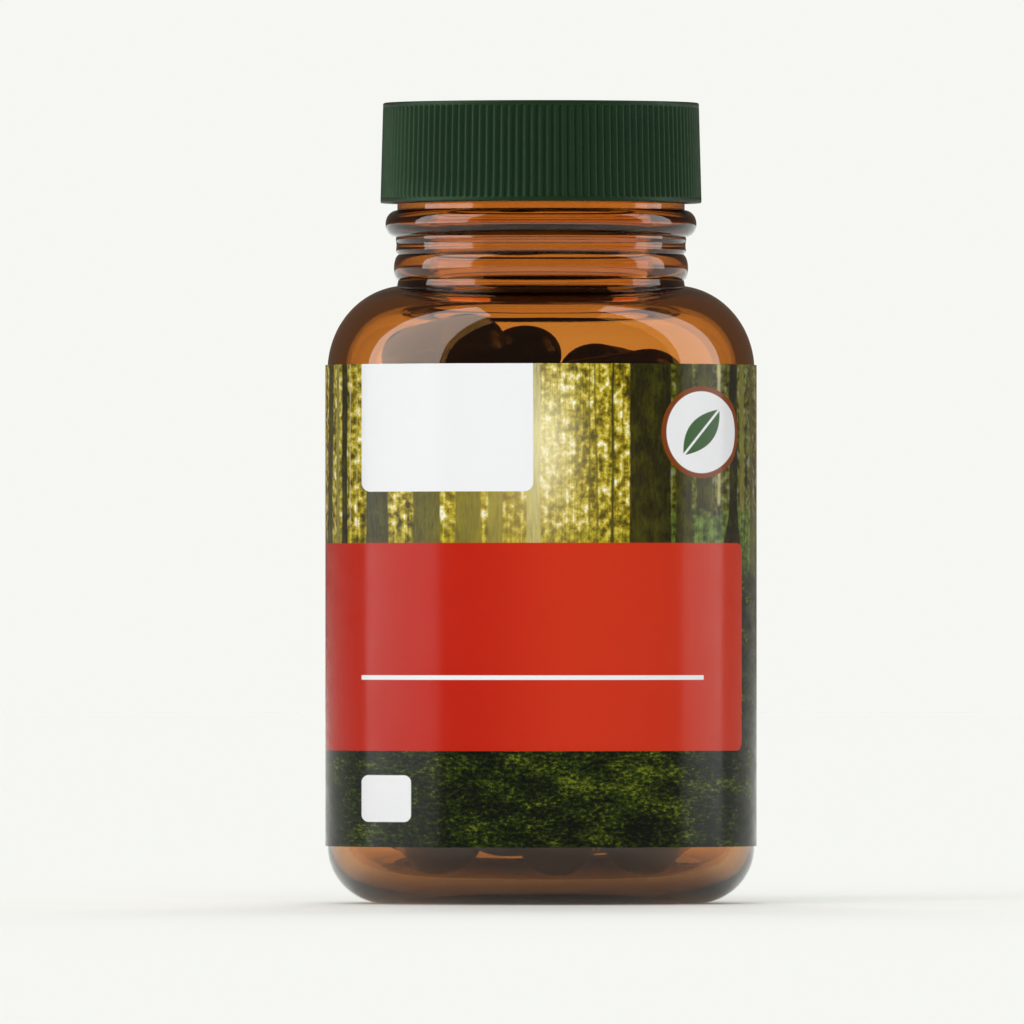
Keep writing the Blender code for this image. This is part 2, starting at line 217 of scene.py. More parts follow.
glass = {
    "columns": 192,
    "bodyRadius": 23.85 * mm,
    "wall": 1.95 * mm,
    "heel": 6.4 * mm,
    "floorHeight": 2.5 * mm,
    "standRing": 1.8 * mm,
    "pushUp": 0.9 * mm,
    # the hollow under the base: how far in from the ring it rests on, and its share of the push-up
    "hollow": [(0, 0), (0.5 * mm, 0.35), (1.4 * mm, 0.62), (7.825 * mm, 0.92)],
    "shoulderFoot": 59.5 * mm,
    "shoulderAxis": 15.0 * mm,
    "shoulderRise": 9.5 * mm,
    "bore": 12.6 * mm,
    "finishRadius": 14.85 * mm,
    "finishFoot": 78.9 * mm,
    "lipHeight": 86.8 * mm,
    "rowsForThread": (79.1 * mm, 86.4 * mm, 0.16 * mm),  # from, to and pitch
    "ledgeRadius": 16.05 * mm,
    "ledgeTop": 78.3 * mm,
    "ledgeFoot": 77.45 * mm,
    # the rounds of the neck: middle, radii, and the arc's start and end in degrees
    "upperRing": ((16.05 * mm, 75.9 * mm), (1.32 * mm, 1.5 * mm), 86, -84),
    "neckGroove": ((16.45 * mm, 73.5 * mm), (0.3 * mm, 0.95 * mm), 140, 220),
    "lowerRing": ((15.75 * mm, 71.0 * mm), (0.68 * mm, 1.5 * mm), 74, -72),
    "tint": (1.0, 0.7, 0.33),
    "tintDeep": (0.99, 0.68, 0.31),
    "absorbColor": (0.66, 0.37, 0.0),
    "absorbDensity": 300.0,
    "indexOfRefraction": 1.5,
    "waviness": 0.012,
    "roughness": (0.0, 0.012),
    "neckFoot": 67.0 * mm,  # from here up the moulded glass is less clear
    "neckFade": 2.0 * mm,
    "neckRoughness": 0.055,
}
thread = {  # on the glass, and the cap's own follows it
    "pitch": 25.4 / 6 * mm,
    "turns": 1.1,
    "foot": 80.3 * mm,
    "crest": 16.04 * mm,
    "fade": math.radians(28),
    "rootWidth": 2.1 * mm,
    "crestWidth": 0.9 * mm,
}


# height of a helical ridge over its wall, for the points of one ring
def ridgeLift(z, angles, foot, start, depth, rootWidth, crestWidth):
    sweep = thread["turns"] * math.tau
    lift = np.zeros(len(angles))
    for lap in range(-1, 3):
        along = angles - start * math.tau + lap * math.tau
        rise = foot + thread["pitch"] * (along / math.tau + start)
        fade = np.minimum(along, sweep - along) / thread["fade"]
        slope = (rootWidth / 2 - np.abs(z - rise)) / (rootWidth / 2 - crestWidth / 2)
        lift = np.maximum(lift, depth * smoothStep(slope) * smoothStep(fade))
    return lift


def glassLine(g):
    inner = g["bodyRadius"] - g["wall"]
    corner = g["heel"] - g["wall"]
    axis, foot = g["shoulderAxis"], g["shoulderFoot"]
    throat = axis - g["bore"]
    riseInside = g["shoulderRise"] - g["wall"]
    # inside, from the middle of the floor up to the mouth
    line = [(0, g["floorHeight"]), (inner / 2, g["floorHeight"])]
    line += ellipseArc((inner - corner, g["floorHeight"] + corner), (corner, corner), -90, 0, steps=12)
    line += ellipseArc((axis, foot), (inner - axis, riseInside), 0, 90, steps=22)
    line += ellipseArc((axis, foot + riseInside + throat), (throat, throat), 270, 180, steps=10)[1:]
    mouth = [
        (g["bore"], foot + riseInside + throat, 0),
        (g["bore"], g["lipHeight"], 0.6 * mm),
        (g["finishRadius"], g["lipHeight"], 0.55 * mm),
        (g["finishRadius"], g["finishFoot"], 0.3 * mm),
        (g["ledgeRadius"], g["ledgeTop"], 0.35 * mm),
        (g["ledgeRadius"], g["ledgeFoot"], 0),
    ]
    line += finerBetween(roundedLine(mouth)[1:], *g["rowsForThread"])
    # outside, down the neck, shoulder and heel to the hollow base
    line += ellipseArc(*g["upperRing"], steps=20)
    line += ellipseArc(*g["neckGroove"], steps=8)
    line += ellipseArc(*g["lowerRing"], steps=16)
    line += ellipseArc((axis, foot), (g["bodyRadius"] - axis, g["shoulderRise"]), 83, 0, steps=28)
    ringOutside = g["bodyRadius"] - g["heel"]
    ringInside = ringOutside - g["standRing"]
    line += ellipseArc((ringOutside, g["heel"]), (g["heel"], g["heel"]), 0, -86, steps=18)
    line.append((ringOutside, 0))
    line += [(ringInside - inset, g["pushUp"] * share) for inset, share in g["hollow"]]
    line.append((0, g["pushUp"]))
    return line


def glassLift(radius, z, angles):
    if abs(radius - glass["finishRadius"]) > sameWall:
        return np.zeros(len(angles))
    depth = thread["crest"] - glass["finishRadius"]
    return ridgeLift(z, angles, thread["foot"], 0, depth, thread["rootWidth"], thread["crestWidth"])


def amberGlass():
    material, tree, shader, output = startMaterial("amberGlass")
    place = objectPlace(tree)
    shader.inputs["Transmission Weight"].default_value = 1
    shader.inputs["IOR"].default_value = glass["indexOfRefraction"]
    ripple = noiseValue(tree, place, scale=90, distortion=0.3)
    fine = noiseValue(tree, place, scale=900, detail=3, roughness=0.6)
    roughness = mapRange(tree, fine, (0.35, 0.75), glass["roughness"])
    height = addNode(tree, "ShaderNodeSeparateXYZ", {0: place}).outputs["Z"]
    neck = (glass["neckFoot"], glass["neckFoot"] + glass["neckFade"])
    moulded = mapRange(tree, height, neck, (0, glass["neckRoughness"]), smooth=True)
    tree.links.new(calc(tree, "ADD", roughness, moulded), shader.inputs["Roughness"])
    tint = blendColors(tree, noiseValue(tree, place, scale=40), glass["tint"], glass["tintDeep"])
    tree.links.new(tint, shader.inputs["Base Color"])
    setBump(tree, shader, ripple, strength=glass["waviness"], distance=1 * mm)
    volume = addNode(tree, "ShaderNodeVolumeAbsorption")
    volume.inputs["Color"].default_value = (*glass["absorbColor"], 1)
    volume.inputs["Density"].default_value = glass["absorbDensity"]
    tree.links.new(volume.outputs[0], output.inputs["Volume"])
    return material


def makeBottle():
    mesh = turnedMesh("amberBottle", glassLine(glass), glass["columns"], glassLift)
    shadeRound(mesh)
    bottle = addObject("amber_bottle", mesh, amberGlass())
    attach(bottle, "bottle")
    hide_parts("glass_bottle")
    bottle.visible_shadow = False  # light reaches the capsules through the glass
    print("bottle made:", len(mesh.polygons), "faces")


# the screw cap, its ribs raised by Geometry Nodes

cap = {
    "footHeight": 78.2 * mm,
    "topHeight": 89.4 * mm,
    "footRadius": 17.93 * mm,
    "topRadius": 17.65 * mm,
    "innerRadius": 16.43 * mm,
    "roof": 1.3 * mm,
    "edge": 0.6 * mm,
    "gateRadius": 1.1 * mm,  # the moulding mark at the middle of the top
    "gateDepth": 0.12 * mm,
    "rimWidth": 1.9 * mm,  # the top's outer rim, and how far it stands over the middle
    "rimHeight": 0.02 * mm,
    "stepWidth": 0.3 * mm,
    "ribs": 128,
    "stepsPerRib": 8,
    "ribDepth": 0.27 * mm,
    "ribFoot": 78.6 * mm,
    "ribCrown": 88.95 * mm,
    "ribFade": 0.25 * mm,
    "threadCrest": 15.2 * mm,
    "threadDrop": 2.05 * mm,  # how far its thread lies under the glass thread
    "threadStart": 0.35,  # in turns
    "threadRoot": 1.3 * mm,
    "threadTip": 0.7 * mm,
    "threadRowPitch": 0.3 * mm,
    "color": screenColor(18, 35, 20),
    "paleColor": screenColor(21, 40, 23),
    "sheenTint": (0.5, 1.0, 0.55, 1),
    "specular": 0.32,
    "roughness": (0.44, 0.54),
}


def capLine(c):
    roof = c["topHeight"] - c["roof"]
    top, foot = c["topHeight"], c["footHeight"]
    gate, step = c["gateRadius"], c["stepWidth"]
    rim = c["topRadius"] - c["rimWidth"]
    corners = [
        (0, top - c["gateDepth"], 0),
        (gate, top - c["gateDepth"], 0.2 * mm),
        (gate + step, top - c["rimHeight"], 0.2 * mm),
        (rim - step, top - c["rimHeight"], 0.3 * mm),
        (rim, top, 0.3 * mm),
        (c["topRadius"], top, c["edge"]),
        (c["topRadius"], c["ribCrown"], 0),
    ]
    line = roundedLine(corners)
    # rows close together where the ribs fade in and out
    slope = (c["footRadius"] - c["topRadius"]) / (c["ribCrown"] - c["ribFoot"])
    rows = [c["ribCrown"] - c["ribFade"] * k / 4 for k in range(1, 5)]
    rows += list(np.linspace(c["ribCrown"] - c["ribFade"], c["ribFoot"] + c["ribFade"], 6))[1:]
    rows += [c["ribFoot"] + c["ribFade"] * k / 4 for k in range(3, -1, -1)]
    line += [(c["topRadius"] + slope * (c["ribCrown"] - z), float(z)) for z in rows]
    skirt = [
        (c["footRadius"], c["ribFoot"], 0),
        (c["footRadius"], foot, 0.15 * mm),
        (c["innerRadius"], foot, 0.15 * mm),
        (c["innerRadius"], roof, 0.25 * mm),
        (0, roof, 0),
    ]
    line += finerBetween(roundedLine(skirt)[1:], foot + 0.1 * mm, roof, c["threadRowPitch"])
    return line


def capLift(radius, z, angles):
    if abs(radius - cap["innerRadius"]) > sameWall:
        return np.zeros(len(angles))
    depth = cap["innerRadius"] - cap["threadCrest"]
    foot = thread["foot"] - cap["threadDrop"]
    return -ridgeLift(z, angles, foot, cap["threadStart"], depth, cap["threadRoot"], cap["threadTip"])


def makeRibTree():
    tree = bpy.data.node_groups.new("raiseRibs", "GeometryNodeTree")
    face = tree.interface
    face.new_socket("Geometry", in_out="INPUT", socket_type="NodeSocketGeometry")
    for name in ("Rib Count", "Rib Depth", "Rib Foot", "Rib Crown", "Fade", "Skirt Radius"):
        face.new_socket(name, in_out="INPUT", socket_type="NodeSocketFloat")
    face.new_socket("Material", in_out="INPUT", socket_type="NodeSocketMaterial")
    face.new_socket("Geometry", in_out="OUTPUT", socket_type="NodeSocketGeometry")
    given = addNode(tree, "NodeGroupInput").outputs
    place = addNode(tree, "GeometryNodeInputPosition").outputs[0]
    axes = addNode(tree, "ShaderNodeSeparateXYZ", {0: place}).outputs
    angle = calc(tree, "ARCTAN2", axes["Y"], axes["X"])
    wave = calc(tree, "COSINE", calc(tree, "MULTIPLY", angle, given["Rib Count"]))
    crest = calc(tree, "POWER", calc(tree, "MULTIPLY_ADD", wave, 0.5, 0.5), 0.75)
    valley = calc(tree, "SUBTRACT", 1.0, crest)
    outward = addNode(tree, "ShaderNodeCombineXYZ", {0: axes["X"], 1: axes["Y"]}).outputs[0]
    radius = addNode(tree, "ShaderNodeVectorMath", {0: outward}, operation="LENGTH").outputs["Value"]
    onSkirt = calc(tree, "GREATER_THAN", radius, given["Skirt Radius"])
    footEnd = calc(tree, "ADD", given["Rib Foot"], given["Fade"])
    crownEnd = calc(tree, "SUBTRACT", given["Rib Crown"], given["Fade"])
    rising = mapRange(tree, axes["Z"], (given["Rib Foot"], footEnd), (0, 1), smooth=True)
    ending = mapRange(tree, axes["Z"], (crownEnd, given["Rib Crown"]), (1, 0), smooth=True)
    depth = calc(tree, "MULTIPLY", calc(tree, "MULTIPLY", rising, ending), given["Rib Depth"])
    inward = calc(tree, "MULTIPLY", calc(tree, "MULTIPLY", depth, valley), onSkirt)
    unit = addNode(tree, "ShaderNodeVectorMath", {0: outward}, operation="NORMALIZE").outputs[0]
    back = calc(tree, "MULTIPLY", inward, -1.0)
    shift = addNode(tree, "ShaderNodeVectorMath", {0: unit, "Scale": back}, operation="SCALE").outputs[0]
    moved = addNode(tree, "GeometryNodeSetPosition", {"Geometry": given["Geometry"], "Offset": shift})
    real = addNode(tree, "GeometryNodeRealizeInstances", {0: moved.outputs[0]})
    painted = addNode(tree, "GeometryNodeSetMaterial", {0: real.outputs[0], "Material": given["Material"]})
    addNode(tree, "NodeGroupOutput", {0: painted.outputs[0]})
    return tree


# runs a Geometry Nodes tree on an object and returns the plain mesh that it makes
def runTree(obj, tree, values):
    modifier = obj.modifiers.new(tree.name, "NODES")
    modifier.node_group = tree
    for item in tree.interface.items_tree:
        if item.in_out == "INPUT" and item.name in values:
            modifier[item.identifier] = values[item.name]
    obj.data.update()
    graph = bpy.context.evaluated_depsgraph_get()
    mesh = bpy.data.meshes.new_from_object(obj.evaluated_get(graph))
    obj.modifiers.clear()
    obj.data = mesh
    return mesh


def greenPlastic():
    material, tree, shader, _ = startMaterial("greenPlastic")
    place = objectPlace(tree)
    cloud = noiseValue(tree, place, scale=160, detail=3)
    grain = noiseValue(tree, place, scale=2600, roughness=0.6)
    wear = noiseValue(tree, place, scale=700, detail=3)
    tree.links.new(blendColors(tree, cloud, cap["color"], cap["paleColor"]), shader.inputs["Base Color"])
    tree.links.new(mapRange(tree, wear, (0.3, 0.7), cap["roughness"]), shader.inputs["Roughness"])
    shader.inputs["Specular IOR Level"].default_value = cap["specular"]
    shader.inputs["Specular Tint"].default_value = cap["sheenTint"]
    setBump(tree, shader, grain, strength=0.12, distance=0.06 * mm)
    return material


def makeCap():
    columns = cap["ribs"] * cap["stepsPerRib"]
    mesh = turnedMesh("ribbedCap", capLine(cap), columns, capLift)
    piece = addObject("ribbed_cap", mesh)
    values = {
        "Rib Count": float(cap["ribs"]),
        "Rib Depth": cap["ribDepth"],
        "Rib Foot": cap["ribFoot"],
        "Rib Crown": cap["ribCrown"],
        "Fade": cap["ribFade"],
        "Skirt Radius": (cap["topRadius"] + cap["innerRadius"]) / 2,
        "Material": greenPlastic(),
    }
    mesh = runTree(piece, makeRibTree(), values)
    shadeRound(mesh)
    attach(piece, "cap")
    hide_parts("screw_cap")
    print("cap made:", cap["ribs"], "ribs,", len(mesh.polygons), "faces")


# the foam liner inside the cap

liner = {
    "radius": 15.9 * mm,
    "foot": 87.1 * mm,
    "top": 87.8 * mm,
    "facing": 0.12 * mm,  # the thin sheet on its lower side, and how far in it ends
    "facingInset": 0.1 * mm,
    "columns": 128,
    "color": screenColor(236, 235, 228),
    "shadeColor": screenColor(222, 221, 212),
    "roughness": (0.5, 0.75),
}


def linerFoam():
    material, tree, shader, _ = startMaterial("linerFoam")
    place = objectPlace(tree)
    cells = addNode(tree, "ShaderNodeTexVoronoi", {"Vector": place, "Scale": 2200}).outputs["Distance"]
    cloud = noiseValue(tree, place, scale=300, detail=3)
    color = blendColors(tree, cloud, liner["color"], liner["shadeColor"])
    tree.links.new(color, shader.inputs["Base Color"])
    tree.links.new(mapRange(tree, cells, (0, 0.8), liner["roughness"]), shader.inputs["Roughness"])
    setBump(tree, shader, cells, strength=0.25, distance=0.08 * mm)
    return material


def makeLiner():
    radius, foot, top = liner["radius"], liner["foot"], liner["top"]
    facingTop, facingEdge = foot + liner["facing"], radius - liner["facingInset"]
    corners = [
        (0, top, 0),
        (radius, top, 0.12 * mm),
        (radius, facingTop, 0.05 * mm),
        (facingEdge, facingTop, 0.04 * mm),
        (facingEdge, foot, 0.05 * mm),
        (0, foot, 0),
    ]
    mesh = turnedMesh("foamLiner", roundedLine(corners), liner["columns"])
    shadeRound(mesh)
    piece = addObject("foam_liner", mesh, linerFoam())
    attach(piece, "liner")
    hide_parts("cap_liner")
    print("liner made")


# the capsules: one shell is set on every capsule's place by Geometry Nodes

capsule = {
    "radius": 4.22 * mm,
    "length": 23.3 * mm,
    "step": 0.11 * mm,  # the cap half stands this far over the body half
    "capFoot": -1.2 * mm,  # where the cap half ends, along the axis
    "lock": 2.0 * mm,  # the locking groove lies this far from the dome
    "grooveDepth": 0.05 * mm,
    "grooveHalf": (0.25 * mm, 0.6 * mm),  # half its width, at the bottom and at the top
    "columns": 28,
    "domeSteps": 9,
    "seed": 4,
    "color": screenColor(15, 9, 7),
    "darkColor": screenColor(7, 4, 4),
    "fleckColor": screenColor(34, 22, 17),
    "specular": 0.22,
    "roughness": (0.14, 0.24),
}


def capsuleLine(c):
    outer, inner = c["radius"], c["radius"] - c["step"]
    reach = c["length"] / 2
    top = ellipseArc((0, reach - outer), (outer, outer), 90, 0, c["domeSteps"])
    bottom = ellipseArc((0, -reach + inner), (inner, inner), 0, -90, c["domeSteps"])
    lock = reach - outer - c["lock"]
    narrow, wide = c["grooveHalf"]
    middle = [
        (outer, lock + wide),
        (outer - c["grooveDepth"], lock + narrow),
        (outer - c["grooveDepth"], lock - narrow),
        (outer, lock - wide),
        (outer, c["capFoot"] + 0.08 * mm),
        (outer - 0.03 * mm, c["capFoot"]),
        (inner, c["capFoot"] - 0.01 * mm),
    ]
    line = top + middle + bottom
    line[0], line[-1] = (0, reach), (0, -reach)
    return line


# middle and axis of a CAD capsule, from its own points
def capsulePose(node):
    points = np.array([v.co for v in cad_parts[node].data.vertices])
    low, high = points.min(axis=0), points.max(axis=0)
    spread = points - (low + high) / 2
    axis = np.linalg.svd(spread - spread.mean(axis=0), full_matrices=False)[2][0]
    along = points @ axis
    across = points - np.outer(along, axis)
    middle = across.mean(axis=0) + axis * (along.min() + along.max()) / 2
    return middle, axis


def makeFillTree():
    tree = bpy.data.node_groups.new("pourCapsules", "GeometryNodeTree")
    face = tree.interface
    face.new_socket("Geometry", in_out="INPUT", socket_type="NodeSocketGeometry")
    face.new_socket("Shell", in_out="INPUT", socket_type="NodeSocketObject")
    face.new_socket("Seed", in_out="INPUT", socket_type="NodeSocketInt")
    face.new_socket("Material", in_out="INPUT", socket_type="NodeSocketMaterial")
    face.new_socket("Geometry", in_out="OUTPUT", socket_type="NodeSocketGeometry")
    given = addNode(tree, "NodeGroupInput").outputs
    axis = addNode(tree, "GeometryNodeInputNamedAttribute", {"Name": "lie"}, data_type="FLOAT_VECTOR")
    turn = addNode(
        tree, "FunctionNodeAlignRotationToVector", {"Vector": axis.outputs["Attribute"]}, axis="Z"
    )
    spin = addNode(
        tree, "FunctionNodeRandomValue", {2: 0.0, 3: math.tau, "Seed": given["Seed"]}, data_type="FLOAT"
    ).outputs[1]
    around = addNode(tree, "FunctionNodeAxisAngleToRotation", {"Axis": (0, 0, 1), "Angle": spin})
    both = addNode(tree, "FunctionNodeRotateRotation", {0: turn.outputs[0], 1: around.outputs[0]})
    both.rotation_space = "LOCAL"
    shape = addNode(tree, "GeometryNodeObjectInfo", {"Object": given["Shell"]})
    placed = addNode(
        tree,
        "GeometryNodeInstanceOnPoints",
        {"Points": given["Geometry"], "Instance": shape.outputs["Geometry"], "Rotation": both.outputs[0]},
    )
    real = addNode(tree, "GeometryNodeRealizeInstances", {0: placed.outputs[0]})
    painted = addNode(tree, "GeometryNodeSetMaterial", {0: real.outputs[0], "Material": given["Material"]})
    addNode(tree, "NodeGroupOutput", {0: painted.outputs[0]})
    return tree


def darkCapsule():
    material, tree, shader, _ = startMaterial("darkCapsule")
    place = objectPlace(tree)
    cloud = noiseValue(tree, place, scale=220, detail=4, roughness=0.6)
    specks = noiseValue(tree, place, scale=1900, detail=3, roughness=0.7)
    wear = noiseValue(tree, place, scale=500, detail=3)
    fleck = mapRange(tree, specks, (0.58, 0.72), (0, 0.55))
    mottling = mapRange(tree, cloud, (0.35, 0.65), (0, 1))
    base = blendColors(tree, mottling, capsule["darkColor"], capsule["color"])
    tree.links.new(blendColors(tree, fleck, base, capsule["fleckColor"]), shader.inputs["Base Color"])
    tree.links.new(mapRange(tree, wear, (0.3, 0.7), capsule["roughness"]), shader.inputs["Roughness"])
    shader.inputs["Specular IOR Level"].default_value = capsule["specular"]
    setBump(tree, shader, cloud, strength=0.05, distance=0.3 * mm)
    return material


def makeCapsules():
    nodes = sorted(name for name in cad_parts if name.startswith("capsule_"))
    shell = turnedMesh("capsuleShell", capsuleLine(capsule), capsule["columns"])
    shadeRound(shell, math.radians(40))
    pattern = addObject("capsule_pattern", shell)
    poses = [capsulePose(name) for name in nodes]
    points = bpy.data.meshes.new("capsulePlaces")
    points.from_pydata([tuple(middle) for middle, _ in poses], [], [])
    lie = points.attributes.new("lie", "FLOAT_VECTOR", "POINT")
    lie.data.foreach_set("vector", np.array([axis for _, axis in poses], np.float32).ravel())
    piece = addObject("capsule_fill", points)
    values = {"Shell": pattern, "Seed": capsule["seed"], "Material": darkCapsule()}
    mesh = runTree(piece, makeFillTree(), values)
    bpy.data.objects.remove(pattern)
    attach(piece, "bottle")
    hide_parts(*nodes)
    print("capsules made:", len(nodes), "in", len(mesh.polygons), "faces")


# the printed wrap label

label = {
    "radius": 24.01 * mm,
    "thickness": 0.08 * mm,
    "foot": 6.4 * mm,
    "top": 60.1 * mm,
    "overlap": 3.0 * mm,
    "overlapLift": 1.1,  # in thicknesses, so that its end lies on its start
    "columns": 360,
    "flatAngle": math.radians(62),  # up to here the art is drawn as it looks from the front
    "wrapRate": 0.75,
    "artUnit": 100.0,  # millimetres of print to one unit of its UV map
    "hidden": -1.0,  # the UV height of all faces but the printed one
    "specular": 0.14,
    "roughness": (0.13, 0.2),
}


# the art's own left-to-right place, in millimetres from the middle of the front
def artAcross(angle):
    flat, radius = label["flatAngle"], label["radius"] / mm
    inFront = min(abs(angle), flat)
    behind = abs(angle) - inFront
    return math.copysign(radius * (math.sin(inFront) + label["wrapRate"] * behind), angle)


def labelMesh(sheet):
    sweep = math.tau + sheet["overlap"] / sheet["radius"]
    lap = 2 * sheet["overlap"] / sheet["radius"]
    fullLift = sheet["overlapLift"] * sheet["thickness"]
    rings = []
    for i in range(sheet["columns"] + 1):
        turned = sweep * i / sheet["columns"]
        lift = fullLift * float(smoothStep((turned - (math.tau - lap)) / lap))
        rings.append((turned - math.pi, sheet["radius"] + lift))
    work = bmesh.new()
    uvs = work.loops.layers.uv.new("art")
    foot, top, hidden = sheet["foot"], sheet["top"], sheet["hidden"]
    grid = []
    for angle, radius in rings:
        across = (math.sin(angle), -math.cos(angle))
        outer = radius + sheet["thickness"]
        row = [(radius, foot), (outer, foot), (outer, top), (radius, top)]
        grid.append([work.verts.new((r * across[0], r * across[1], z)) for r, z in row])
    arts = [artAcross(max(-math.pi, min(math.pi, angle))) / sheet["artUnit"] for angle, _ in rings]

    def addFace(corners, places):
        made = work.faces.new(corners)
        for loop, place in zip(made.loops, places):
            loop[uvs].uv = place

    printed = 1  # of the four sides of the film, the one that faces out
    for i in range(sheet["columns"]):
        for k in range(4):
            far = (k + 1) % 4
            corners = (grid[i][k], grid[i + 1][k], grid[i + 1][far], grid[i][far])
            heights = [v.co.z / mm / sheet["artUnit"] if k == printed else hidden for v in corners]
            sides = [arts[i], arts[i + 1], arts[i + 1], arts[i]]
            addFace(corners, list(zip(sides, heights)))
    addFace(grid[0], [(arts[0], hidden)] * 4)
    addFace(grid[-1][::-1], [(arts[-1], hidden)] * 4)
    mesh = facedOut(work, bpy.data.meshes.new("wrapLabel"))
    shadeRound(mesh, math.radians(30))
    return mesh


# the print, in millimetres: across from the middle of the front, and up from the base
art = {
    "red": screenColor(186, 32, 11),
    "redLight": screenColor(199, 49, 22),
    "redTurn": (-9.0, 5.0),  # from here to here the red grows lighter
    "white": screenColor(237, 238, 240),
    # left, right, foot and top of each flat field
    "band": (-36.0, 23.1, 17.1, 40.2),
    "panel": (-19.9, -0.9, 45.9, 62.0),
    "rule": (-19.9, 18.0, 25.0, 25.5),
    "square": (-19.9, -14.4, 9.2, 14.4),
    "seal": (17.76, 52.5, 4.45, 5.1),  # its middle, half its width and half its height
    "sealRim": 0.55,
    "rim": screenColor(128, 62, 22),
    "leaf": screenColor(48, 88, 36),
    "leafLean": math.radians(52),
    "leafSize": (3.3, 1.5),  # half its length and half its width
    "midrib": 0.09,
    "backPanel": (36.0, 10.0, 56.0),  # how far round it starts, its foot and its top
    "cream": screenColor(214, 211, 199),
    "backing": screenColor(226, 222, 210),
}
wood = {
    "foot": 40.2,  # the height that the trunks stand on
    "sun": ((0.5, 51.3), (3.0, 6.5)),  # middle and reach
    "sunColor": screenColor(255, 246, 200),
    "sunStrength": 0.52,
    "veil": ((-2.5, 46.0), (7.5, 9.0)),
    "veilColor": screenColor(198, 174, 96),
    "veilStrength": 0.4,
    # each noise: scale across and up, detail, roughness
    "leafNoise": ((1.3, 1.05), 4, 0.58),
    "clumpNoise": ((0.4, 0.2), 3, 0.5),
    "streakNoise": ((2.0, 0.05), 4, 0.6),
    "barkNoise": ((3.6, 0.4), 5, 0.7),
    "patchNoise": ((0.6, 0.3), 4, 0.7),
    "bendNoise": ((0.2, 0.1), 2, 0.5),
    "edgeNoise": ((1.4, 0.8), 4, 0.5),
    # how strongly leaves, clumps, streaks and the sun lighten the background, from its middle tone
    "leafGain": 1.55,
    "clumpGain": 0.8,
    "streakGain": 0.6,
    "sunGain": 0.14,
    "middleTone": 0.46,
    "leaves": [
        (0.2, screenColor(62, 54, 7)),
        (0.38, screenColor(128, 113, 14)),
        (0.5, screenColor(178, 159, 32)),
        (0.62, screenColor(212, 195, 92)),
        (0.8, screenColor(253, 250, 232)),
    ],
    "ground": [
        (0.3, screenColor(72, 66, 8)),
        (0.5, screenColor(146, 132, 20)),
        (0.7, screenColor(202, 186, 52)),
    ],
    "shade": (0.26, 0.33, 0.36),  # the deep wood on the right, against the bright one
    "groundShade": (0.3, 0.55, 1.5),
    "shadeFrom": (11.0, 12.5),
    "shadeTo": (26.0, 33.0),
    "groundHeight": 2.0,
    "groundRise": 2.2,  # how much higher the ground stands in the deep wood
    "flareHeight": 5.5,  # below this the trunks' feet spread
    # bark's dark, pale and mossy colours, each with what a trunk's paleness adds to it
    "bark": ((14, 13, 4), (160, 148, 120)),
    "paleBark": ((42, 38, 12), (195, 195, 195)),
    "mossyBark": ((66, 66, 10), (160, 150, 120)),
}
# trunks: place across, half width, lean, how pale, how far the foot spreads, how high it stands
trunks = [
    (-33.5, 1.1, 0.02, 0.10, 0.3, 0),
    (-29.0, 0.7, -0.03, 0.35, 0.2, 0),
    (-26.2, 0.9, 0.03, 0.15, 0.3, 0),
    (-23.7, 0.4, 0.0, 0.6, 0.1, 0),
    (-22.2, 0.62, 0.0, 0.05, 0.15, 0),
    (-21.2, 0.14, 0.0, 0.95, 0.0, 1.5),
    (-20.4, 0.1, 0.0, 0.9, 0.0, 2.0),
    (-18.2, 1.3, 0.0, 0.16, 0.06, 0),
    (-12.7, 1.6, 0.0, 0.3, 0.05, 0),
    (-8.1, 1.5, 0.0, 0.4, 0.05, 0),
    (-5.1, 0.9, 0.0, 0.5, 0.05, 0),
    (-0.85, 0.85, 0.0, 0.8, 0.05, 0),
    (1.6, 0.1, 0.01, 0.55, 0.3, 2.2),
    (2.7, 0.08, 0.0, 0.6, 0.3, 2.4),
    (4.35, 0.1, 0.0, 0.45, 0.3, 2.0),
    (5.35, 0.17, 0.0, 0.3, 0.5, 1.8),
    (6.3, 0.17, -0.02, 0.25, 0.5, 1.4),
    (7.9, 0.24, 0.0, 0.12, 0.15, 0),
    (8.9, 0.09, 0.01, 0.4, 0.3, 2.0),
    (12.1, 2.4, 0.0, 0.05, 0.04, 0),
    (15.85, 1.0, 0.0, 0.12, 0.1, 0),
    (18.15, 0.95, 0.0, 0.16, 0.25, 3.4),
    (19.7, 0.26, 0.0, 0.85, 0.1, 4.0),
    (21.5, 0.72, 0.0, 0.01, 0.9, 0),
    (23.1, 0.6, 0.0, 0.5, 0.1, 3.2),
    (26.0, 0.6, -0.02, 0.3, 0.3, 0),
    (29.5, 1.2, 0.03, 0.08, 0.3, 0),
    (33.8, 0.8, 0.0, 0.2, 0.3, 0),
]
moss = {
    "top": 37.0,  # where it meets the wood, beside the band
    "edgeNoise": ((0.9, 0.9), 5, 0.7),
    "edgeGain": 6.0,
    "bright": ((9.0, 14.0), (9.0, 2.6)),  # middle and reach of its sunlit patch
    "fineNoise": ((1.7, 2.8), 6, 0.7),
    "tuftNoise": ((0.22, 0.42), 4, 0.6),
    "fineGain": 1.1,
    "tuftGain": 0.75,
    "brightGain": 0.1,
    "middleTone": 0.535,
    "colors": [
        (0.42, screenColor(3, 8, 1)),
        (0.54, screenColor(17, 28, 2)),
        (0.66, screenColor(46, 60, 4)),
        (0.82, screenColor(118, 124, 30)),
    ],
}


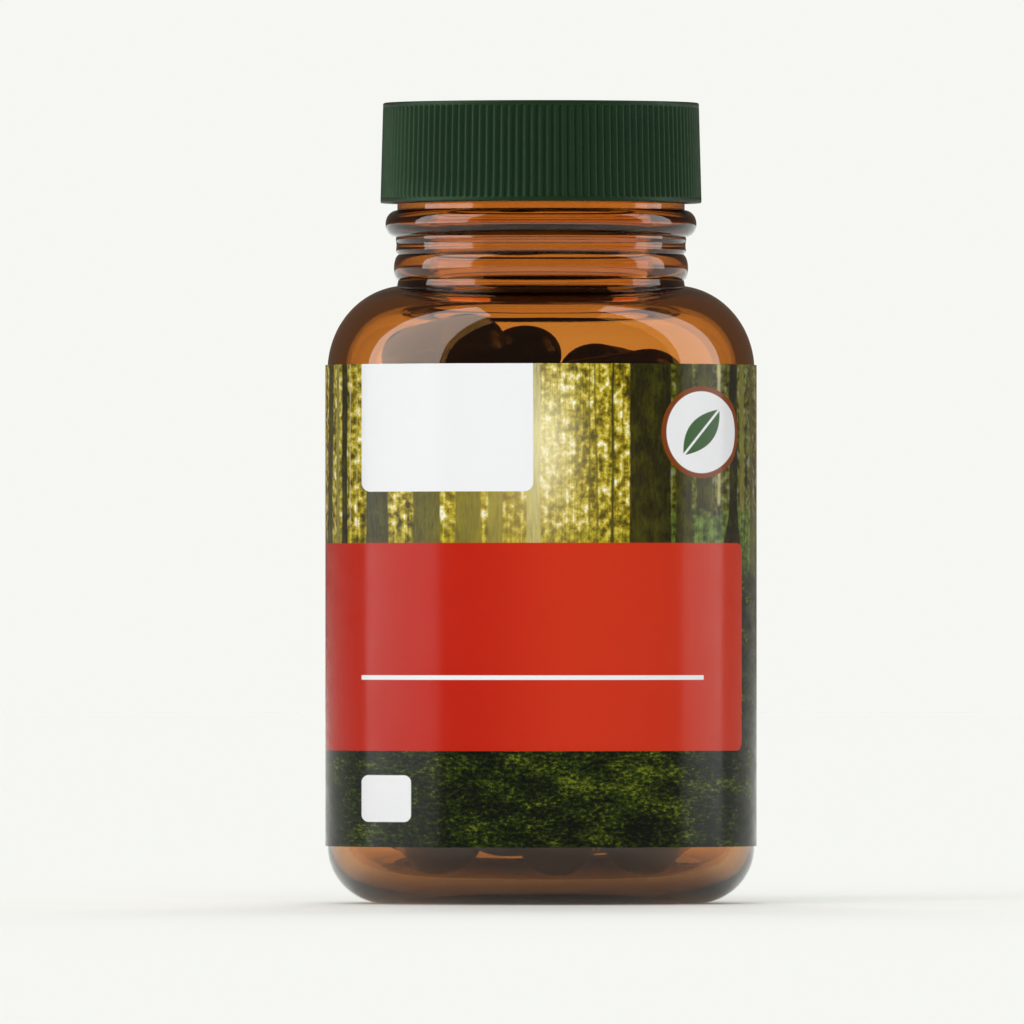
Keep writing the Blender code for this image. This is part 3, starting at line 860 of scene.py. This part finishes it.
def makePanelGroup():
    tree = bpy.data.node_groups.new("roundedPanel", "ShaderNodeTree")
    for name in ("Across", "Up", "Left", "Right", "Foot", "Top", "Corner", "Edge"):
        tree.interface.new_socket(name, in_out="INPUT", socket_type="NodeSocketFloat")
    tree.interface.new_socket("Mask", in_out="OUTPUT", socket_type="NodeSocketFloat")
    given = addNode(tree, "NodeGroupInput").outputs

    def beyond(place, low, high):
        middle = calc(tree, "MULTIPLY", calc(tree, "ADD", low, high), 0.5)
        half = calc(tree, "MULTIPLY", calc(tree, "SUBTRACT", high, low), 0.5)
        out = calc(tree, "ABSOLUTE", calc(tree, "SUBTRACT", place, middle))
        inset = calc(tree, "SUBTRACT", half, given["Corner"])
        return calc(tree, "MAXIMUM", calc(tree, "SUBTRACT", out, inset), 0.0)

    across = beyond(given["Across"], given["Left"], given["Right"])
    up = beyond(given["Up"], given["Foot"], given["Top"])
    square = calc(tree, "ADD", calc(tree, "POWER", across, 2.0), calc(tree, "POWER", up, 2.0))
    away = calc(tree, "SUBTRACT", calc(tree, "SQRT", square), given["Corner"])
    mask = calc(tree, "SUBTRACT", 0.5, calc(tree, "DIVIDE", away, given["Edge"]), clamp=True)
    addNode(tree, "NodeGroupOutput", {0: mask})
    return tree


# noise over the print, drawn out by its scale across and up
def printNoise(tree, place, scale, detail, roughness):
    moved = addNode(tree, "ShaderNodeMapping", {"Vector": place, "Scale": (*scale, 1)}).outputs[0]
    return noiseValue(tree, moved, 1.0, detail, roughness)


# 1 at the middle of an oval, fading out at about its reach
def softSpot(tree, across, up, middle, reach):
    x = calc(tree, "DIVIDE", calc(tree, "SUBTRACT", across, middle[0]), reach[0])
    y = calc(tree, "DIVIDE", calc(tree, "SUBTRACT", up, middle[1]), reach[1])
    away = calc(tree, "ADD", calc(tree, "POWER", x, 2.0), calc(tree, "POWER", y, 2.0))
    return calc(tree, "EXPONENT", calc(tree, "MULTIPLY", away, -1.0))


# a value whose distance from its middle is stretched by a gain
def gained(tree, value, gain):
    return calc(tree, "MULTIPLY", calc(tree, "SUBTRACT", value, 0.5), gain)


# a tone of bark for a trunk's paleness, in which the blue grows last
def barkColor(tone, paleness):
    gains = (paleness, paleness, paleness**2)
    return screenColor(*[start + added * gain for start, added, gain in zip(*tone, gains)])


# leaves against the light, then the ground, the trunks in front of them and the sun's haze
def woodPrint(tree, place, across, up):
    height = calc(tree, "SUBTRACT", up, wood["foot"])
    leaves = printNoise(tree, place, *wood["leafNoise"])
    clumps = printNoise(tree, place, *wood["clumpNoise"])
    streaks = printNoise(tree, place, *wood["streakNoise"])
    glow = softSpot(tree, across, up, *wood["sun"])
    mottle = gained(tree, leaves, wood["leafGain"])
    mottle = calc(tree, "ADD", mottle, gained(tree, clumps, wood["clumpGain"]))
    mottle = calc(tree, "ADD", mottle, gained(tree, streaks, wood["streakGain"]))
    light = calc(tree, "MULTIPLY_ADD", glow, wood["sunGain"], calc(tree, "ADD", mottle, wood["middleTone"]))
    color = colorRamp(tree, light, wood["leaves"])

    spread = calc(tree, "ADD", gained(tree, leaves, 1.2), gained(tree, streaks, 1.0))
    groundColor = colorRamp(tree, calc(tree, "ADD", spread, 0.5), wood["ground"])
    deepening = mapRange(tree, across, wood["shadeFrom"], (0, 1))
    ending = mapRange(tree, across, wood["shadeTo"], (1, 0))
    deep = calc(tree, "MULTIPLY", deepening, ending)
    rise = calc(tree, "MULTIPLY_ADD", deep, wood["groundRise"], wood["groundHeight"])
    groundTop = calc(tree, "ADD", gained(tree, clumps, 4.0), rise)
    groundMask = calc(tree, "MULTIPLY", calc(tree, "SUBTRACT", groundTop, height), 0.9, clamp=True)
    groundColor = blendColors(tree, deep, groundColor, wood["groundShade"], "MULTIPLY")
    color = blendColors(tree, deep, color, wood["shade"], "MULTIPLY")
    color = blendColors(tree, groundMask, color, groundColor)

    barkMask = mapRange(tree, printNoise(tree, place, *wood["barkNoise"]), (0.36, 0.7), (0, 1))
    mossMask = mapRange(tree, printNoise(tree, place, *wood["patchNoise"]), (0.46, 0.68), (0, 0.7))
    bent = calc(tree, "ADD", across, gained(tree, printNoise(tree, place, *wood["bendNoise"]), 0.35))
    rough = gained(tree, printNoise(tree, place, *wood["edgeNoise"]), 0.2)
    flare = calc(tree, "POWER", mapRange(tree, height, (0, wood["flareHeight"]), (1, 0)), 2.0)
    for middle, half, lean, paleness, footSpread, footHeight in trunks:
        line = calc(tree, "MULTIPLY_ADD", height, lean, middle)
        away = calc(tree, "ABSOLUTE", calc(tree, "SUBTRACT", bent, line))
        reach = calc(tree, "ADD", calc(tree, "MULTIPLY_ADD", flare, half * footSpread, half), rough)
        mask = calc(tree, "MULTIPLY", calc(tree, "SUBTRACT", reach, away), 5.0, clamp=True)
        if footHeight > 0:
            overFoot = calc(tree, "MULTIPLY", calc(tree, "SUBTRACT", height, footHeight), 2.0, clamp=True)
            mask = calc(tree, "MULTIPLY", mask, overFoot)
        dark, pale, mossy = [barkColor(wood[tone], paleness) for tone in ("bark", "paleBark", "mossyBark")]
        trunkColor = blendColors(tree, barkMask, dark, pale)
        trunkColor = blendColors(tree, mossMask, trunkColor, mossy)
        color = blendColors(tree, mask, color, trunkColor)
    veil = calc(tree, "MULTIPLY", softSpot(tree, across, up, *wood["veil"]), wood["veilStrength"])
    color = blendColors(tree, veil, color, wood["veilColor"])
    return blendColors(tree, calc(tree, "MULTIPLY", glow, wood["sunStrength"]), color, wood["sunColor"])


def mossPrint(tree, place, across, up):
    fine = gained(tree, printNoise(tree, place, *moss["fineNoise"]), moss["fineGain"])
    tufts = gained(tree, printNoise(tree, place, *moss["tuftNoise"]), moss["tuftGain"])
    light = calc(tree, "ADD", calc(tree, "ADD", fine, tufts), moss["middleTone"])
    bright = softSpot(tree, across, up, *moss["bright"])
    light = calc(tree, "MULTIPLY_ADD", bright, moss["brightGain"], light)
    return colorRamp(tree, light, moss["colors"])


# a plain leaf, leaning, with a pale midrib
def leafMask(tree, across, up, centreAcross, centreUp):
    cosine, sine = math.cos(art["leafLean"]), math.sin(art["leafLean"])
    halfLength, halfWidth = art["leafSize"]
    x = calc(tree, "SUBTRACT", across, centreAcross)
    y = calc(tree, "SUBTRACT", up, centreUp)
    along = calc(tree, "ADD", calc(tree, "MULTIPLY", x, cosine), calc(tree, "MULTIPLY", y, sine))
    over = calc(tree, "SUBTRACT", calc(tree, "MULTIPLY", y, cosine), calc(tree, "MULTIPLY", x, sine))
    share = calc(tree, "DIVIDE", along, halfLength)
    edge = calc(tree, "MULTIPLY", calc(tree, "SUBTRACT", 1.0, calc(tree, "POWER", share, 2.0)), halfWidth)
    width = calc(tree, "ABSOLUTE", over)
    blade = calc(tree, "MULTIPLY", calc(tree, "SUBTRACT", edge, width), 12.0, clamp=True)
    midrib = calc(tree, "MULTIPLY", calc(tree, "SUBTRACT", width, art["midrib"]), 14.0, clamp=True)
    return calc(tree, "MULTIPLY", blade, midrib)


# 1 inside an oval, with an edge as wide as is given
def ovalMask(tree, across, up, oval, inset=0.0, edge=0.08):
    centreAcross, centreUp, halfAcross, halfUp = oval
    x = calc(tree, "DIVIDE", calc(tree, "SUBTRACT", across, centreAcross), halfAcross - inset)
    y = calc(tree, "DIVIDE", calc(tree, "SUBTRACT", up, centreUp), halfUp - inset)
    away = calc(tree, "SQRT", calc(tree, "ADD", calc(tree, "POWER", x, 2.0), calc(tree, "POWER", y, 2.0)))
    inside = calc(tree, "MULTIPLY", calc(tree, "SUBTRACT", 1.0, away), (halfAcross - inset) / edge)
    return calc(tree, "ADD", inside, 0.5, clamp=True)


def printedFilm():
    material, tree, shader, _ = startMaterial("printedFilm")
    panelGroup = makePanelGroup()
    uv = addNode(tree, "ShaderNodeUVMap", uv_map="art").outputs[0]
    inputs = {0: uv, "Scale": label["artUnit"]}
    place = addNode(tree, "ShaderNodeVectorMath", inputs, operation="SCALE").outputs[0]
    axes = addNode(tree, "ShaderNodeSeparateXYZ", {0: place}).outputs
    across, up = axes["X"], axes["Y"]

    def panelMask(left, right, foot, top, corner=0.3, edge=0.08):
        made = addNode(tree, "ShaderNodeGroup", node_tree=panelGroup)
        tree.links.new(across, made.inputs["Across"])
        tree.links.new(up, made.inputs["Up"])
        values = {"Left": left, "Right": right, "Foot": foot, "Top": top, "Corner": corner, "Edge": edge}
        for name, value in values.items():
            made.inputs[name].default_value = value
        return made.outputs[0]

    # the scene: a wood above, moss below, with an uneven edge between them
    uneven = gained(tree, printNoise(tree, place, *moss["edgeNoise"]), moss["edgeGain"])
    overEdge = calc(tree, "ADD", calc(tree, "SUBTRACT", up, moss["top"]), uneven)
    woodMask = calc(tree, "MULTIPLY_ADD", overEdge, 0.4, 0.5, clamp=True)
    mossColor, woodColor = mossPrint(tree, place, across, up), woodPrint(tree, place, across, up)
    color = blendColors(tree, woodMask, mossColor, woodColor)

    # the red band with its rule, the white panels and the seal
    redMask = mapRange(tree, across, art["redTurn"], (0, 1), smooth=True)
    red = blendColors(tree, redMask, art["red"], art["redLight"])
    color = blendColors(tree, panelMask(*art["band"], corner=1.0), color, red)
    color = blendColors(tree, panelMask(*art["rule"], corner=0.1), color, art["white"])
    color = blendColors(tree, panelMask(*art["panel"], corner=1.0), color, art["white"])
    color = blendColors(tree, panelMask(*art["square"], corner=0.8), color, art["white"])
    color = blendColors(tree, ovalMask(tree, across, up, art["seal"]), color, art["rim"])
    color = blendColors(tree, ovalMask(tree, across, up, art["seal"], art["sealRim"]), color, art["white"])
    color = blendColors(tree, leafMask(tree, across, up, *art["seal"][:2]), color, art["leaf"])

    # the plain cream panel at the back, and the film's unprinted inner face
    side, foot, top = art["backPanel"]
    beyondSide = calc(tree, "SUBTRACT", calc(tree, "ABSOLUTE", across), side)
    backMask = calc(tree, "MULTIPLY", beyondSide, 10.0, clamp=True)
    allRound = panelMask(-90.0, 90.0, foot, top)  # wider than the label is long
    color = blendColors(tree, calc(tree, "MULTIPLY", backMask, allRound), color, art["cream"])
    color = blendColors(tree, mapRange(tree, up, (-2, -1), (1, 0)), color, art["backing"])

    dust = noiseValue(tree, place, scale=0.35, detail=3, roughness=0.6)
    tree.links.new(color, shader.inputs["Base Color"])
    tree.links.new(mapRange(tree, dust, (0.3, 0.7), label["roughness"]), shader.inputs["Roughness"])
    shader.inputs["Specular IOR Level"].default_value = label["specular"]
    setBump(tree, shader, noiseValue(tree, place, scale=0.5), strength=0.03, distance=0.4 * mm)
    return material


def makeLabel():
    piece = addObject("wrap_label", labelMesh(label), printedFilm())
    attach(piece, "bottle")
    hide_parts("label")
    print("label made:", len(piece.data.polygons), "faces")


# floor, light and camera

studio = {
    "pale": (0.923, 0.931, 0.888),  # the open floor and the backdrop
    "floorSize": 12.0,
    "floorLight": 1.06,  # what all the light together gives the open floor
    "skyShare": 0.38,  # the share of it that comes evenly from all round
    # where each sun shines from, its spread in degrees and its share of the floor's light
    "suns": {"front_sun": ((-0.15, -0.75, 0.62), 60, 0.32), "back_sun": ((0.03, 0.84, 0.5), 40, 0.3)},
    "reflected": (0.14, 0.1, 0.075),  # the dim, warm room that shiny surfaces mirror
    # soft panels at both sides, which only shiny surfaces show: nearest edge, farthest edge, radiance
    "panelHeight": 3.0,
    "panelAway": 1.0,
    "leftPanel": (-0.67, 0.3, 3.3),
    "rightPanel": (-0.16, 0.42, 2.7),
    "cameraAway": 3.0,
    "cameraHeight": 0.032,
    "aim": (-0.00324, 0.0437),  # across and up
    "viewWidth": 0.1144,  # how much the view takes in at the bottle
}


def makeFloor():
    half = studio["floorSize"] / 2
    mesh = bpy.data.meshes.new("floor")
    corners = [(-half, -half, 0), (half, -half, 0), (half, half, 0), (-half, half, 0)]
    mesh.from_pydata(corners, [], [(0, 1, 2, 3)])
    material, _, shader, _ = startMaterial("paleFloor")
    shader.inputs["Base Color"].default_value = (*[c / studio["floorLight"] for c in studio["pale"]], 1)
    shader.inputs["Roughness"].default_value = 0.9
    shader.inputs["Specular IOR Level"].default_value = 0
    floor = addObject("floor", mesh, material)


# the camera sees a pale backdrop, matt surfaces an even sky, and shiny ones a dim room
def makeWorld():
    world = bpy.data.worlds.new("studio")
    bpy.context.scene.world = world
    world.use_nodes = True
    tree = world.node_tree
    tree.nodes.clear()
    path = addNode(tree, "ShaderNodeLightPath").outputs
    sky = (studio["skyShare"] * studio["floorLight"],) * 3
    scattered = calc(tree, "MAXIMUM", path["Is Diffuse Ray"], path["Diffuse Depth"], clamp=True)
    mirrored = calc(tree, "MAXIMUM", path["Is Reflection Ray"], path["Glossy Depth"], clamp=True)
    color = blendColors(tree, mirrored, studio["pale"], studio["reflected"])
    color = blendColors(tree, scattered, color, sky)
    light = addNode(tree, "ShaderNodeBackground", {"Color": color, "Strength": 1.0})
    addNode(tree, "ShaderNodeOutputWorld", {0: light.outputs[0]})


def makePanel(name, side, near, far, radiance):
    width, height = far - near, studio["panelHeight"]
    data = bpy.data.lights.new(name, "AREA")
    data.shape = "RECTANGLE"
    data.size, data.size_y = width, height
    data.energy = radiance * math.pi * width * height
    lamp = addObject(name, data)
    lamp.location = (side * studio["panelAway"], (near + far) / 2, height / 2)
    lamp.rotation_euler = (math.pi / 2, 0, side * math.pi / 2)
    lamp.visible_camera = False
    lamp.visible_diffuse = False


def makeSun(name, fromWhere, spread, share):
    data = bpy.data.lights.new(name, "SUN")
    toSun = Vector(fromWhere).normalized()
    data.energy = studio["floorLight"] * share * math.pi / toSun.z
    data.angle = math.radians(spread)
    lamp = addObject(name, data)
    lamp.rotation_euler = toSun.to_track_quat("Z", "Y").to_euler()
    lamp.visible_glossy = False
    lamp.visible_transmission = False


def makeCamera():
    data = bpy.data.cameras.new("camera")
    camera = addObject("camera", data)
    x, z = studio["aim"]
    camera.location = (x, -studio["cameraAway"], studio["cameraHeight"])
    aim = Vector((x, 0, z)) - camera.location
    camera.rotation_euler = aim.to_track_quat("-Z", "Y").to_euler()
    data.sensor_width = 36
    data.lens = data.sensor_width * studio["cameraAway"] / studio["viewWidth"]
    data.clip_start, data.clip_end = 0.05, 100
    bpy.context.scene.camera = camera


makeCamera()
makeBottle()
makeCap()
makeLiner()
makeCapsules()
makeLabel()
makeFloor()
makeWorld()
makePanel("left_panel", -1, *studio["leftPanel"])
makePanel("right_panel", 1, *studio["rightPanel"])
bpy.context.scene.view_settings.view_transform = "Standard"
for name, sun in studio["suns"].items():
    makeSun(name, *sun)
print("studio made")
